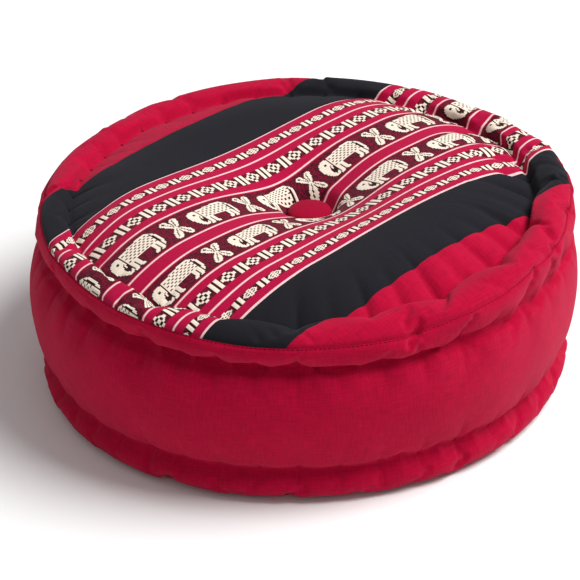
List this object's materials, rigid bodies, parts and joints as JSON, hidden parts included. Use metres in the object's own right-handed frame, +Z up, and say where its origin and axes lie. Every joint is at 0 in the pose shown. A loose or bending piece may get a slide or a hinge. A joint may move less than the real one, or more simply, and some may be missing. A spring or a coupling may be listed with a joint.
{
  "type": "meditation cushion",
  "caption": "Round zafu cushion of packed kapok with stitched rolled rims, a button-tufted middle, striped woven top panel and plain side band",
  "frame": {"origin": "On the floor, under the middle of the cushion's box", "axes": "+Z up through the crown; +X along the stripes of the top panel; +Y across them, away from the picture's near side"},
  "size_m": [0.4182, 0.4182, 0.1522],
  "materials": {
    "red_cotton": "matte woven cotton",
    "button_cotton": "matte woven cotton"
  },
  "bodies": {
    "root": {"cushion": "red_cotton", "button": "button_cotton"}
  },
  "joints": []
}
